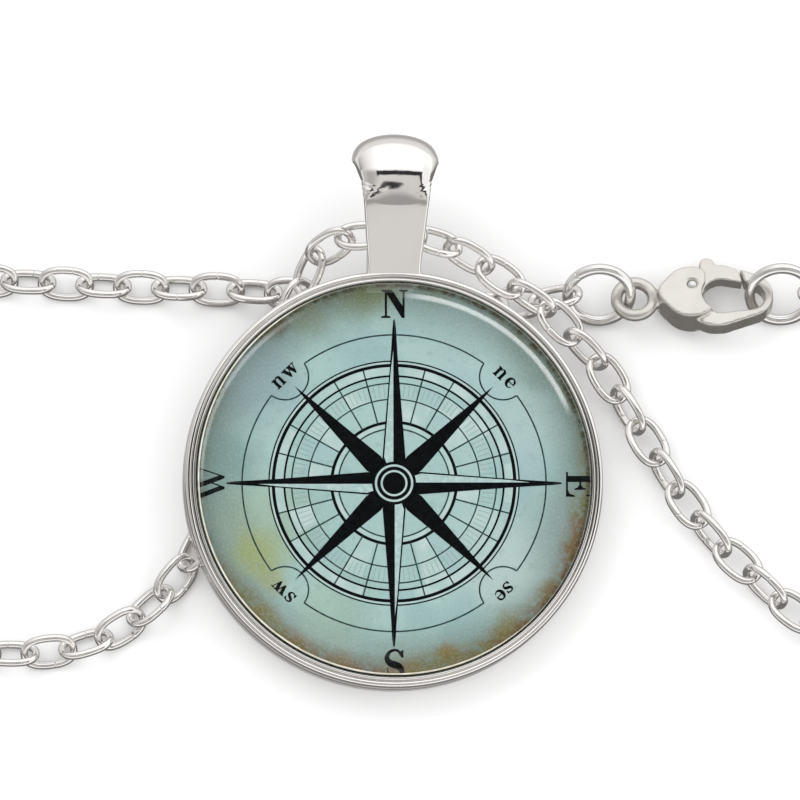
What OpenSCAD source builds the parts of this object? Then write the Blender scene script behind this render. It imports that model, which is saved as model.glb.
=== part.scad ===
// A round glass picture pendant on a cable chain, lying on a table at real size, in millimetres.
// The pendant lies on its back over two strands of its own chain, so it leans a little.
// The near strands run through the bail, and the clasp lies on the far strand.

/* [Pendant] */
// Diameter of the glass dome
glass_d = 25.4; // [22:0.2:26]
// Height of the straight edge of the glass
glass_edge_h = 1.9; // [1:0.1:2.6]
// Height of the dome above its straight edge
dome_rise = 4.2; // [2:0.1:6]
// Thickness of the printed card under the glass
card_t = 0.3; // [0.2:0.05:0.6]
// Thickness of the tray's wall around the glass
tray_wall = 0.74; // [0.5:0.02:1.2]
// Thickness of the tray's floor
tray_floor = 0.8; // [0.6:0.05:1.2]
// Height of the tray's rim over its back
tray_h = 3; // [2.4:0.1:4]
// Gap between the glass and the tray's wall
seat_clear = 0.06; // [0.03:0.01:0.15]
// Gap that the clear glue fills between tray, card and glass
glue_gap = 0.04; // [0.02:0.01:0.1]
// Size of the chamfers on the tray's outer edges
tray_chamfer = 0.2; // [0.1:0.05:0.35]
// Depth of the turned grooves in the tray's rim
groove_depth = 0.1; // [0.05:0.01:0.2]
// Height of the turned groove around the tray's side
side_groove_h = 1.8; // [1:0.05:1.9]

/* [Bail] */
// Reach of the bail beyond the tray's edge
bail_reach = 8.9; // [8:0.1:11]
// Width of the bail where it meets the tray
bail_foot_w = 3.44; // [2.4:0.02:4]
// Width of the bail at its top
bail_top_w = 5.58; // [4.6:0.02:7]
// Depth of the bail's loop, front to back
bail_depth = 5.6; // [5:0.1:7]
// Thickness of the bail's strap
bail_strap = 0.85; // [0.6:0.05:1]
// Depth of the bail's closed foot at the tray's edge
bail_foot_depth = 3.1; // [2.6:0.1:3.6]
// Gap between the tray's edge and the loop's inner end
bail_foot_gap = 0.75; // [0.5:0.05:1]
// Radius of the loop's inner end
bail_inner_r = 1.03; // [0.9:0.01:1.1]
// Radius of the bail's top corners
bail_corner_r = 1; // [0.6:0.1:1.4]
// Height of the crown of the bail's top edge over its corners' centres
bail_crown = 1.4; // [1.2:0.05:1.6]

/* [Lie of the pendant] */
// Lean of the pendant on its chain, in degrees
pendant_lean = 8.6; // [6:0.1:10]
// Bearing of the rim that touches the table, in degrees from the right
low_bearing = -63; // [-75:1:-50]

/* [Chain] */
// Reach of each lobe of the chain to its side, from the middle of the pendant
lobe_reach = 95.4; // [90:0.2:110]
// Thickness of the chain's wire
wire_d = 0.5; // [0.4:0.02:0.54]
// Outer length of a link
link_l = 3.7; // [3.6:0.05:3.9]
// Outer width of a link
link_w = 2.45; // [2.3:0.05:2.6]
// Distance from one link to the next
link_pitch = 2.46; // [2.4:0.01:2.5]
// Roll of each link from flat, to one side and then the other, in degrees
link_roll = 40; // [36:1:45]
// Gap between the links and the table
lie_gap = 0.02; // [0.01:0.01:0.05]

/* [Jump rings] */
// Outer diameter of the jump rings
ring_d = 4.8; // [4.6:0.1:5.4]
// Thickness of the jump rings' wire
ring_wire_d = 0.7; // [0.6:0.02:0.74]
// Gap between a jump ring's wire and the wire of the link in it
ring_link_gap = 0.15; // [0.1:0.01:0.25]
// Gap between a jump ring's wire and the inside of the clasp's hook
ring_hook_gap = 0.6; // [0.5:0.05:0.7]

/* [Clasp] */
// Length from the middle of the clasp's eye to the end of its hook
clasp_l = 9; // [8.8:0.1:10]
// Greatest width of the clasp
clasp_w = 4.6; // [4.4:0.1:5]
// Thickness of the clasp's root, where the lever turns
clasp_root_t = 2.2; // [2:0.1:2.6]
// Thickness of the clasp's hook
clasp_hook_t = 1.3; // [1.1:0.05:1.5]
// Wall of the hook at its end
hook_wall = 0.6; // [0.5:0.05:0.8]
// Width of the space inside the hook
hook_gap = 2.5; // [2.2:0.1:2.6]
// Radius of the hook's outer end
hook_end_r = 1.6; // [1.4:0.05:1.8]
// Radius of the middle of the eye's wire
eye_r = 1.2; // [1.1:0.05:1.4]
// Thickness of the eye's wire
eye_wire_d = 0.8; // [0.7:0.05:0.9]
// Thickness of the neck between the eye and the body
neck_d = 1.2; // [0.9:0.05:1.4]
// Thickness of the lever
lever_t = 1; // [0.8:0.05:1.1]
// Distance from the lever's end to the hook's outer end
lever_end_inset = 2; // [1.9:0.05:2.2]
// Radius of the lever's round root
lever_root_r = 0.8; // [0.7:0.05:0.85]
// Radius of the thumb tab on the lever
thumb_tab_r = 0.5; // [0.4:0.05:0.6]
// Diameter of the lever's pin
pin_d = 0.6; // [0.5:0.02:0.7]
// Clearance around the pin in the lever
pin_run_clear = 0.04; // [0.02:0.01:0.08]
// Clearance around the pin in the clasp's root
pin_seat_clear = 0.02; // [0.01:0.01:0.03]
// Clearance between the lever and the clasp's body
lever_clear = 0.1; // [0.06:0.01:0.15]

/* [Hidden] */
$fn = 64;

// Middle of the pendant's back and of the clasp's eye on the table, seen from above
pendant_at = [0, -2.6];
eye_at = [15.97, 9.8];
// Lean of the jump rings from the table, and roll of the clasp about its length
ring_lean = 50;
clasp_roll = 15;

// Pendant
seat_r = glass_d / 2 + seat_clear;
tray_r = seat_r + tray_wall;
card_z = tray_floor + glue_gap;
glass_z = card_z + card_t + glue_gap;
dome_r = (pow(glass_d / 2, 2) + pow(dome_rise, 2)) / (2 * dome_rise);

// Bail: its loop is the hull of two circles seen from the side
bail_top_y = tray_r + bail_reach;
bail_loop_r = bail_depth / 2;
bail_loop_at = [bail_top_y - bail_loop_r, bail_loop_r];
bail_foot_r = bail_foot_depth / 2;
bail_foot_at = [tray_r, bail_foot_r];
// Outline of the bail from the front: shares of the reach, and of the growth in width
BAIL_SIDE = [[-0.1, 0], [0.05, 0], [0.34, 0.26], [0.63, 0.6], [0.75, 0.82]];

// Chain
wire_r = wire_d / 2;
ring_r = (ring_d - ring_wire_d) / 2;
link_half_l = (link_l - wire_d) / 2;
link_half_w = (link_w - wire_d) / 2;
link_straight = link_half_l - link_half_w;

// Clasp, in its own plane with the eye at the origin and the hook along x
shoulder_r = 0.85;
shoulder_at = [2.3, 0];
root_end_r = 1.84;
root_end_at = [3.6, 0];
clasp_mid_r = clasp_w / 2;
clasp_mid_at = [5.3, 0];
clasp_end_at = [clasp_l - hook_end_r, 0];
// The space in the hook: a wide round end towards the root, and a small one at the hook's end
hook_in_r = hook_gap / 2;
hook_in_at = [5.6, -0.05];
hook_in_end_r = 0.95;
hook_in_end_at = [clasp_l - hook_wall - hook_in_end_r, -0.1];
// The lever: its pin, its thumb tab and the line that its arm keeps above
pivot_at = [3.7, 0.55];
thumb_tab_at = [4.7, 2.3];
lever_line_y = 0.35;
lever_reach = clasp_l - lever_end_inset - pivot_at.x;
// From here on the gate is open through the whole thickness
gate_x = 4.6;
clasp_z = clasp_mid_r * sin(clasp_roll) + clasp_root_t / 2 * cos(clasp_roll);
ring_z = ring_r * sin(ring_lean) + ring_wire_d / 2;
ring_y = eye_at.y + (ring_z - clasp_z) / tan(ring_lean);
// The end ring lies against the eye's outer side, and the catch ring near the hook's end
end_ring_x = eye_at.x - eye_r / 4 - ring_r;
catch_ring_x = eye_at.x + clasp_l - hook_wall - ring_wire_d / 2 - ring_hook_gap + ring_r;
link_in_ring = wire_r + ring_wire_d / 2 + ring_link_gap - link_half_l + link_pitch / 2;

// Height of the links' middle where they lie on the table
floor_z = wire_r + link_half_w * sin(link_roll) + lie_gap;
// Route of the chain from the end ring to the catch ring: x, y, height over the links on the
// table, and the extra roll of the links there, chosen by hand
ROUTE = [
    [end_ring_x - ring_r + link_in_ring, ring_y, ring_z - floor_z, 0],
    [9.5, 9.8, 0.35, 0],
    [7, 9.65, 0.02, 0],
    [3.2, 9.8, 0, 0],
    [-1, 10.1, 0, 0],
    [-6.2, 10.4, 0, 0],
    [-10.5, 10.7, 0, 0],
    [-16.5, 10.9, 0, 0],
    [-24, 11.3, 0, 0],
    [-34, 11.6, 0, 0],
    [-46, 11.9, 0, 0],
    [-58, 11.9, 0, 0],
    [-70, 11.2, 0, 0],
    [-81, 9.2, 0, 0],
    [-89.6, 5.4, 0, 0],
    [-94.9, -0.8, 0, 0],
    [-95.4, -6.6, 0, 0],
    [-90.5, -11.6, 0, 0],
    [-82, -14.2, 0, 0],
    [-70, -15, 0, 0],
    [-58, -14.9, 0, 0],
    [-46, -14.5, 0, 0],
    [-34, -13.9, 0, 0],
    [-25, -13.5, 0, 0],
    [-22, -13.5, 0, 0],
    [-19.6, -12.9, 0, 0],
    [-17.4, -12, 0, 0],
    [-15.5, -10.3, 0, 0],
    [-13.8, -8.7, 0, 0],
    [-12.6, -6.6, 0, 0],
    [-11.2, -3.4, 0, 0],
    [-9.5, 0.4, 0.1, 0],
    [-7.97, 3.83, 0.87, 0],
    [-6.73, 7.36, 1.56, 0],
    [-5.96, 9.62, 1.96, 0],
    [-5.28, 11.25, 2.59, 0],
    [-4.49, 12.18, 3.93, 4],
    [-3.53, 12.72, 4.74, 8],
    [-2.19, 13, 5.27, 12],
    [-0.78, 12.92, 5.39, 10],
    [0.7, 12.87, 5.1, 0],
    [1.9, 12.87, 4.98, 0],
    [3.28, 12.7, 4.63, 8],
    [5.03, 11.94, 3.9, 18],
    [6.8, 10.89, 3.33, 27],
    [8.58, 9.73, 2.9, 27],
    [10.47, 8.47, 2.5, 27],
    [12.22, 6.76, 1.6, 27],
    [13.9, 5.1, 0.6, 27],
    [15, 3.2, 0.35, 27],
    [16.3, 1, 0.35, 27],
    [17.5, -1.1, 0.35, 27],
    [18.7, -3.1, 0.35, 27],
    [20.1, -5.1, 0.35, 27],
    [21.6, -6.9, 0.35, 27],
    [23.3, -8.5, 0.35, 27],
    [24.9, -10.1, 0.35, 27],
    [26.4, -11.3, 0.35, 27],
    [30, -14.2, 0.36, 20],
    [35, -16.6, 0.06, 0],
    [42, -17.9, 0, 0],
    [52, -18.2, 0, 0],
    [64, -17.4, 0, 0],
    [76, -14.6, 0, 0],
    [87, -9.4, 0, 0],
    [94.4, -2.6, 0, 0],
    [95.3, 3.2, 0, 0],
    [89.9, 8, 0, 0],
    [79.9, 10.6, 0, 0],
    [68, 11.4, 0, 0],
    [56, 11.2, 0, 0],
    [44, 10.7, 0, 0],
    [35, 10.3, 0.1, 0],
    [catch_ring_x + ring_r - link_in_ring, ring_y, ring_z - floor_z, 0]
];
STEPS = 10;

// The lobes were drawn to this reach, and stretch from this far on
DRAWN_REACH = 95.4;
STRETCH_FROM = 36;
function stretched(x) =
    abs(x) < STRETCH_FROM ? x :
    sign(x) * (STRETCH_FROM + (abs(x) - STRETCH_FROM)
        * (lobe_reach - STRETCH_FROM) / (DRAWN_REACH - STRETCH_FROM));

// Smooth curve through the route's points, with tangents weighted by the spacing
function route_p(i) = [stretched(ROUTE[i].x), ROUTE[i].y, ROUTE[i].z + floor_z];
function gap_len(i) = norm(route_p(i + 1) - route_p(i));
last_point = len(ROUTE) - 1;
function slope_at(i) =
    i == 0 ? (route_p(1) - route_p(0)) / gap_len(0) :
    i == last_point ? (route_p(i) - route_p(i - 1)) / gap_len(i - 1) :
    ((route_p(i + 1) - route_p(i)) * gap_len(i - 1) / gap_len(i)
        + (route_p(i) - route_p(i - 1)) * gap_len(i) / gap_len(i - 1))
        / (gap_len(i - 1) + gap_len(i));
function between(i, t) =
    route_p(i) * (2 * t * t * t - 3 * t * t + 1)
    + slope_at(i) * gap_len(i) * (t * t * t - 2 * t * t + t)
    + route_p(i + 1) * (3 * t * t - 2 * t * t * t)
    + slope_at(i + 1) * gap_len(i) * (t * t * t - t * t);
samples = [
    for (i = [0 : last_point - 1], k = [0 : STEPS - 1]) between(i, k / STEPS),
    route_p(last_point)
];
twists = [
    for (i = [0 : last_point - 1], k = [0 : STEPS - 1])
        ROUTE[i][3] + (ROUTE[i + 1][3] - ROUTE[i][3]) * k / STEPS,
    ROUTE[last_point][3]
];
// Length of the route up to each sample
travelled = [
    for (i = 0, s = 0; i < len(samples);
        i = i + 1, s = i < len(samples) ? s + norm(samples[i] - samples[i - 1]) : s) s
];
route_len = travelled[len(travelled) - 1];
axis_tables = [for (a = [0 : 2]) [for (i = [0 : len(samples) - 1]) [travelled[i], samples[i][a]]]];
twist_table = [for (i = [0 : len(samples) - 1]) [travelled[i], twists[i]]];
function at_len(s) = [for (a = [0 : 2]) lookup(s, axis_tables[a])];

// An odd number of links, so that the first and the last lie alike in their rings
link_count = 2 * round((route_len / link_pitch - 1) / 2) + 1;
pitch = route_len / link_count;
joints = [for (k = [0 : link_count]) at_len(k * pitch)];
// The link that lies inside the bail, high over the table, is the last one of the left half
bail_link = [
    for (k = [0 : link_count - 1])
        if (joints[k].x < pendant_at.x && joints[k + 1].x >= pendant_at.x && joints[k].z > tray_h) k
][0];

// Hull of two circles, from arcs and straight tangents
module round_taper(at_a, r_a, at_b, r_b) {
    along = at_b - at_a;
    facing = atan2(along.y, along.x);
    lean = acos((r_a - r_b) / norm(along));
    translate(at_a) circle(r_a);
    translate(at_b) circle(r_b);
    polygon([
        at_a + r_a * [cos(facing + lean), sin(facing + lean)],
        at_a + r_a * [cos(facing - lean), sin(facing - lean)],
        at_b + r_b * [cos(facing - lean), sin(facing - lean)],
        at_b + r_b * [cos(facing + lean), sin(facing + lean)]
    ]);
}

// Puts what is drawn flat, with its back on z = 0, where the pendant lies
module on_pendant() {
    translate([pendant_at.x, pendant_at.y, tray_r * sin(pendant_lean)])
        rotate(a = pendant_lean, v = [-sin(low_bearing), cos(low_bearing), 0])
        children();
}

// Side view of the bail's loop: y of the pendant to the right, its depth upwards
module bail_side() {
    inner_at = [tray_r + bail_foot_gap + bail_inner_r, bail_strap + bail_inner_r];
    difference() {
        round_taper(bail_foot_at, bail_foot_r, bail_loop_at, bail_loop_r);
        round_taper(inner_at, bail_inner_r, bail_loop_at, bail_loop_r - bail_strap);
    }
}

// Front view of the bail: a strap that widens to a crowned top
module bail_front() {
    foot = bail_foot_w / 2;
    grow = bail_top_w / 2 - foot;
    corner_y = bail_top_y - bail_crown;
    corner_x = bail_top_w / 2 - bail_corner_r;
    right = [for (p = BAIL_SIDE) [foot + p[1] * grow, tray_r + p[0] * bail_reach]];
    left = [for (i = [len(right) - 1 : -1 : 0]) [-right[i].x, right[i].y]];
    // Crown that touches both corner arcs
    rise = (pow(corner_x, 2) - pow(bail_crown - bail_corner_r, 2)) / (2 * (bail_crown - bail_corner_r));
    crown_r = rise + bail_crown;
    touch_x = corner_x * crown_r / (crown_r - bail_corner_r);
    polygon(concat(
        right, [[bail_top_w / 2, corner_y]], [[-bail_top_w / 2, corner_y]], left
    ));
    for (side = [-1, 1]) translate([side * corner_x, corner_y]) circle(bail_corner_r);
    intersection() {
        translate([0, bail_top_y - crown_r]) circle(crown_r);
        translate([-touch_x, corner_y]) square([2 * touch_x, bail_crown + 1]);
    }
}

module bail() {
    intersection() {
        rotate([90, 0, 90]) linear_extrude(2 * bail_top_w, center = true) bail_side();
        translate([0, 0, -bail_depth]) linear_extrude(3 * bail_depth) bail_front();
    }
}

module tray_turning() {
    groove_r = seat_r + (tray_wall - tray_chamfer) / 2;
    rotate_extrude(convexity = 4) polygon([
        [0, 0], [tray_r - tray_chamfer, 0], [tray_r, tray_chamfer],
        [tray_r, side_groove_h - groove_depth], [tray_r - groove_depth, side_groove_h],
        [tray_r, side_groove_h + groove_depth], [tray_r, tray_h - tray_chamfer],
        [tray_r - tray_chamfer, tray_h], [groove_r + groove_depth, tray_h],
        [groove_r, tray_h - groove_depth], [groove_r - groove_depth, tray_h],
        [seat_r, tray_h], [seat_r, tray_floor], [0, tray_floor]
    ]);
}

// Tray and bail are cast in one piece
module tray() {
    color([0.78, 0.77, 0.76]) on_pendant() union() {
        tray_turning();
        difference() {
            bail();
            translate([0, 0, -1]) cylinder(r = tray_r - tray_wall / 2, h = bail_depth + 2);
        }
    }
}

module card() {
    color([0.66, 0.78, 0.75]) on_pendant()
        translate([0, 0, card_z]) cylinder(r = seat_r - seat_clear, h = card_t);
}

module glass_dome() {
    color([0.85, 0.92, 0.92, 0.35]) on_pendant() intersection() {
        translate([0, 0, glass_z]) cylinder(d = glass_d, h = glass_edge_h + dome_rise + 1);
        translate([0, 0, glass_z + glass_edge_h + dome_rise - dome_r]) sphere(dome_r, $fn = 128);
    }
}

// One long link in its own plane, along x: two round ends and two straight sides
module link() {
    for (side = [0, 180]) rotate(side) {
        translate([link_straight, 0]) rotate(-90)
            rotate_extrude(angle = 180, $fn = 48)
            translate([link_half_w, 0]) circle(r = wire_r, $fn = 20);
        translate([0, link_half_w]) rotate([0, 90, 0])
            cylinder(r = wire_r, h = 2 * link_straight, center = true, $fn = 20);
    }
}

// The links first to last, each along the line between its two joints and rolled about it
module links(first, last) {
    for (k = [first : last]) {
        along = (joints[k + 1] - joints[k]) / norm(joints[k + 1] - joints[k]);
        flat = cross([0, 0, 1], along);
        side = flat / norm(flat);
        over = cross(along, side);
        roll = (k % 2 == 0 ? link_roll : -link_roll) + lookup((k + 0.5) * pitch, twist_table);
        wide = side * cos(roll) + over * sin(roll);
        up = cross(along, wide);
        middle = (joints[k] + joints[k + 1]) / 2;
        multmatrix([
            [along.x, wide.x, up.x, middle.x],
            [along.y, wide.y, up.y, middle.y],
            [along.z, wide.z, up.z, middle.z],
            [0, 0, 0, 1]
        ]) link();
    }
}

module chain_left() {
    color([0.75, 0.75, 0.74]) links(0, bail_link);
}

module chain_right() {
    color([0.7, 0.7, 0.72]) links(bail_link + 1, link_count - 1);
}

module jump_ring(x) {
    translate([x, ring_y, ring_z]) rotate([ring_lean, 0, 0])
        rotate_extrude() translate([ring_r, 0]) circle(d = ring_wire_d, $fn = 32);
}

module end_ring() {
    color([0.8, 0.8, 0.8]) jump_ring(end_ring_x);
}

module catch_ring() {
    color([0.8, 0.8, 0.8]) jump_ring(catch_ring_x);
}

// Puts what is drawn about the clasp's middle plane where the clasp lies
module on_clasp() {
    translate([eye_at.x, eye_at.y, clasp_z]) rotate([-clasp_roll, 0, 0]) children();
}

module clasp_outline() {
    round_taper(shoulder_at, shoulder_r, clasp_mid_at, clasp_mid_r);
    round_taper(clasp_mid_at, clasp_mid_r, clasp_end_at, hook_end_r);
}

module hook_space() {
    round_taper(hook_in_at, hook_in_r, hook_in_end_at, hook_in_end_r);
}

// What the lever's arm fills when shut: the hook's side wall as far as the lever reaches
module lever_outline(grown) {
    intersection() {
        difference() {
            clasp_outline();
            hook_space();
        }
        translate([pivot_at.x, lever_line_y - grown]) square([clasp_l, clasp_w]);
        translate(pivot_at) circle(lever_reach + grown);
    }
    translate(pivot_at) circle(lever_root_r + grown);
    translate(thumb_tab_at) circle(thumb_tab_r + grown);
}

module clasp_body() {
    color([0.72, 0.71, 0.7]) on_clasp() difference() {
        union() {
            rotate_extrude() translate([eye_r, 0]) circle(d = eye_wire_d, $fn = 32);
            translate([eye_r, 0, 0]) rotate([0, 90, 0]) cylinder(d = neck_d, h = shoulder_at.x - eye_r);
            linear_extrude(clasp_hook_t, center = true) clasp_outline();
            linear_extrude(clasp_root_t, center = true)
                round_taper(shoulder_at, shoulder_r, root_end_at, root_end_r);
        }
        linear_extrude(2 * clasp_root_t, center = true) hook_space();
        // The lever's slot in the root, and the open gate beyond it
        linear_extrude(lever_t + 2 * lever_clear, center = true) lever_outline(lever_clear);
        linear_extrude(2 * clasp_root_t, center = true) intersection() {
            lever_outline(lever_clear);
            translate([gate_x, 0]) square(clasp_l);
        }
        translate(pivot_at)
            cylinder(d = pin_d + 2 * pin_seat_clear, h = 2 * clasp_root_t, center = true);
    }
}

module clasp_lever() {
    color([0.8, 0.79, 0.78]) on_clasp() difference() {
        linear_extrude(lever_t, center = true) lever_outline(0);
        translate(pivot_at) cylinder(d = pin_d + 2 * pin_run_clear, h = 2 * lever_t, center = true);
    }
}

module clasp_pin() {
    color([0.6, 0.6, 0.62]) on_clasp()
        translate(pivot_at) cylinder(d = pin_d, h = clasp_root_t, center = true);
}

tray();
card();
glass_dome();
chain_left();
chain_right();
end_ring();
catch_ring();
clasp_body();
clasp_lever();
clasp_pin();
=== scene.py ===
"""Compass pendant on its chain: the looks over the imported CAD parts, in the shared row frame (metres)."""
import bpy
import bmesh
import math
import numpy as np
from mathutils import Matrix, Vector
from mathutils.geometry import tessellate_polygon


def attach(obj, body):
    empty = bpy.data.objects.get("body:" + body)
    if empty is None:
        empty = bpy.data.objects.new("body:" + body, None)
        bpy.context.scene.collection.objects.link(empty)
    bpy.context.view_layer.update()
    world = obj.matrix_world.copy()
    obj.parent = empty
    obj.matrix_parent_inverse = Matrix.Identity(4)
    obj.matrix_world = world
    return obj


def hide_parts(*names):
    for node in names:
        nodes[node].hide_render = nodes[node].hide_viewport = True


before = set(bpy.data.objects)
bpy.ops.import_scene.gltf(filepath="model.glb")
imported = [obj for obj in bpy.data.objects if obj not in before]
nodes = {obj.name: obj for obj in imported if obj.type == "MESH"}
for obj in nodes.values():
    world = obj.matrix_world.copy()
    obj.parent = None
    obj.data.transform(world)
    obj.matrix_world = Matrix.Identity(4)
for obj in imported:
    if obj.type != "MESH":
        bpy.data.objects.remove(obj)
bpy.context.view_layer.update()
MM = 0.001

# ---------------------------------------------------------------- pendant frame and camera frame
LEAN = math.radians(8.6)  # how far the pendant tips on its chain
LOW = math.radians(-63)  # the side on which it lies lowest
PEND = (
    Matrix.Translation((0, -0.0026, 0.0135 * math.sin(LEAN)))
    @ Matrix.Rotation(LEAN, 4, (-math.sin(LOW), math.cos(LOW), 0))
)
PN = np.array(PEND)
PR = PN[:3, :3]


def on_pendant(v):
    """Points in mm in the pendant's own frame (x right, y to the bail, z out of the glass) to the row frame."""
    return np.asarray(v, float) * MM @ PR.T + PN[:3, 3]


def unit(v):
    v = np.asarray(v, float)
    return v / np.linalg.norm(v)


N_AX, X_AX, Y_AX = PR @ [0, 0, 1], PR @ [1, 0, 0], PR @ [0, 1, 0]
CAM = unit(N_AX - 0.08 * X_AX - 0.12 * Y_AX)
UP = unit(Y_AX - (Y_AX @ CAM) * CAM)
RIGHT = np.cross(UP, CAM)
PX = 0.0643  # mm of the pendant's plane in one pixel of the photo
PHOTO = 800  # pixels of the photo each way
DIST = 0.55  # metres from the camera to its aim
AIM = on_pendant([0, 0, 3.0]) + (0.354 * RIGHT + 5.05 * UP) * MM
EYE = AIM + CAM * DIST


# ---------------------------------------------------------------- mesh helpers
def new_mesh(name, verts, faces, angle=35.0, flat=False):
    me = bpy.data.meshes.new(name)
    me.from_pydata([tuple(v) for v in np.asarray(verts, float)], [], [tuple(f) for f in faces])
    me.validate()
    me.update()
    if flat:
        me.shade_flat()
    else:
        me.shade_smooth()
        me.set_sharp_from_angle(angle=math.radians(angle))
    return me


def placed(name, data):
    """A new object with the data, in the scene."""
    o = bpy.data.objects.new(name, data)
    bpy.context.scene.collection.objects.link(o)
    return o


def new_piece(name, me, mat, body, replaced):
    o = placed(name, me)
    me.materials.append(mat)
    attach(o, body)
    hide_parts(replaced)
    return o


def lathe(profile, n):
    """Closed turning about z from (r, z) points; ends on the axis become single points."""
    verts, rows = [], []
    ang = np.linspace(0, 2 * math.pi, n, endpoint=False)
    for r, z in profile:
        if r < 1e-6:
            rows.append([len(verts)])
            verts.append((0, 0, z))
        else:
            rows.append(list(range(len(verts), len(verts) + n)))
            verts += [(r * math.cos(a), r * math.sin(a), z) for a in ang]
    faces = []
    for a, b in zip(rows[:-1], rows[1:]):
        for i in range(n):
            j = (i + 1) % n
            if len(a) == 1:
                faces.append((a[0], b[j], b[i]))
            elif len(b) == 1:
                faces.append((a[i], a[j], b[0]))
            else:
                faces.append((a[i], a[j], b[j], b[i]))
    return np.array(verts), faces


def arc(cr, cz, r, a0, a1, n, rise=None):
    """Points on a circle, or on an oval with its own rise, in (r, z); angles in degrees from +r towards +z."""
    rise = r if rise is None else rise
    return [(cr + r * math.cos(a), cz + rise * math.sin(a)) for a in np.radians(np.linspace(a0, a1, n))]


def coords(me):
    """A mesh's vertex positions."""
    v = np.zeros(len(me.vertices) * 3, np.float32)
    me.vertices.foreach_get("co", v)
    return v.reshape(-1, 3).astype(float)


def smoothstep(t):
    t = min(1.0, max(0.0, t))
    return t * t * (3 - 2 * t)


# ---------------------------------------------------------------- node helpers
def tree_of(name):
    m = bpy.data.materials.new(name)
    m.use_nodes = True
    nt = m.node_tree
    nt.nodes.clear()
    out = nt.nodes.new("ShaderNodeOutputMaterial")
    return m, nt, out


def put(nt, socket, v):
    """Feeds an input from a socket, or sets it to a number or a tuple."""
    if isinstance(v, bpy.types.NodeSocket):
        nt.links.new(v, socket)
    else:
        socket.default_value = v


def add(nt, kind, links=(), **values):
    """One node; values set its attributes or, for names that start with i, its numbered inputs."""
    n = nt.nodes.new(kind)
    for k, v in values.items():
        if k[0] == "i" and k[1:].isdigit():
            n.inputs[int(k[1:])].default_value = v
        else:
            setattr(n, k, v)
    for socket, source in links:
        nt.links.new(source, n.inputs[socket])
    return n


def maths(nt, op, a, b=None):
    n = add(nt, "ShaderNodeMath", operation=op)
    put(nt, n.inputs[0], a)
    if b is not None:
        put(nt, n.inputs[1], b)
    return n.outputs[0]


def mapped(nt, v, a, b, c=0.0, d=1.0, smooth=True):
    """v's way from a to b, clamped, as a value from c to d."""
    n = add(nt, "ShaderNodeMapRange", [(0, v)], clamp=True, i1=a, i2=b, i3=c, i4=d)
    n.interpolation_type = "SMOOTHSTEP" if smooth else "LINEAR"
    return n.outputs[0]


def mix(nt, fac, a, b):
    """Colour mix by fac of a and b, each a socket or a colour."""
    n = add(nt, "ShaderNodeMix", data_type="RGBA")
    put(nt, n.inputs[0], fac)
    for i, v in ((6, a), (7, b)):
        put(nt, n.inputs[i], (*v, 1.0) if isinstance(v, tuple) else v)
    return n.outputs[2]


def measure(nt, op, v, w):
    """DOT_PRODUCT or DISTANCE of the vector v and the constant w."""
    return add(nt, "ShaderNodeVectorMath", [(0, v)], operation=op, i1=tuple(w)).outputs["Value"]


def noise(nt, co, scale, detail):
    return add(nt, "ShaderNodeTexNoise", [(0, co)], i2=scale, i3=detail).outputs[0]


def surface(nt, out, colour, **values):
    """A Principled surface; values are its other inputs, sockets or numbers, with _ for a space in their names."""
    b = add(nt, "ShaderNodeBsdfPrincipled", [("Base Color", colour)])
    for k, v in values.items():
        put(nt, b.inputs[k.replace("_", " ")], v)
    nt.links.new(b.outputs[0], out.inputs[0])


# ---------------------------------------------------------------- materials
TINT = 0.06  # how much darker a metal's darker clouds are


def metal(name, colour, rough, scale, spread, bump):
    """Bright plate: slow cloudy roughness, faint tone changes and very shallow unevenness."""
    m, nt, out = tree_of(name)
    co = add(nt, "ShaderNodeTexCoord").outputs["Object"]
    slow = noise(nt, co, scale * 0.28, 2.0)
    r = mapped(nt, noise(nt, co, scale, 3.0), 0.35, 0.7, rough, rough + spread)
    dark = tuple(c * (1 - TINT) for c in colour)
    bp = add(nt, "ShaderNodeBump", [("Height", slow)])
    bp.inputs["Strength"].default_value = bump
    bp.inputs["Distance"].default_value = 0.0002
    col = mix(nt, mapped(nt, slow, 0.35, 0.65), dark, colour)
    surface(nt, out, col, Metallic=1.0, Roughness=r, Normal=bp.outputs[0])
    return m


# colour, roughness, scale of the clouds, spread of the roughness, unevenness
TRAY = metal("tray_plate", (0.93, 0.915, 0.9), 0.05, 700, 0.05, 0.015)
CHAIN = metal("chain_plate", (0.90, 0.885, 0.87), 0.07, 1500, 0.06, 0.03)
RING = metal("ring_plate", (0.90, 0.89, 0.88), 0.10, 1500, 0.08, 0.03)
CLASP = metal("clasp_plate", (0.74, 0.715, 0.68), 0.26, 1200, 0.1, 0.05)
PIN = metal("pin_steel", (0.8, 0.8, 0.8), 0.2, 2500, 0.1, 0.05)

IOR = 1.5
GLASS, nt, out = tree_of("dome_glass")
clouds = mapped(nt, noise(nt, add(nt, "ShaderNodeTexCoord").outputs["Object"], 120.0, 1.0), 0.3, 0.7)
col = mix(nt, clouds, (0.985, 0.992, 0.99), (0.995, 0.998, 0.997))
surface(nt, out, col, Transmission_Weight=1.0, IOR=IOR, Roughness=0.0)

# ---------------------------------------------------------------- the dome's bending of the print
# heights and radii in mm in the pendant's frame
DOME_R, DOME_TOP, GLASS_Z = 21.30, 7.28, 1.18  # the dome's radius and top, and the glass's underside
DOME_Z = DOME_TOP - DOME_R  # middle of the dome's ball
PRINT_Z, PRINT_LOW = 1.146, 1.141  # top and underside of the ink
PRINT_R = 12.6  # the print ends here
SHEET = 26  # the card's picture coordinates run over this much
HUB = (394.06, 483.2)  # where the middle of the print shows in the photo
SQUEEZE = 0.9757  # the print's circles are this much lower than wide there


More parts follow.
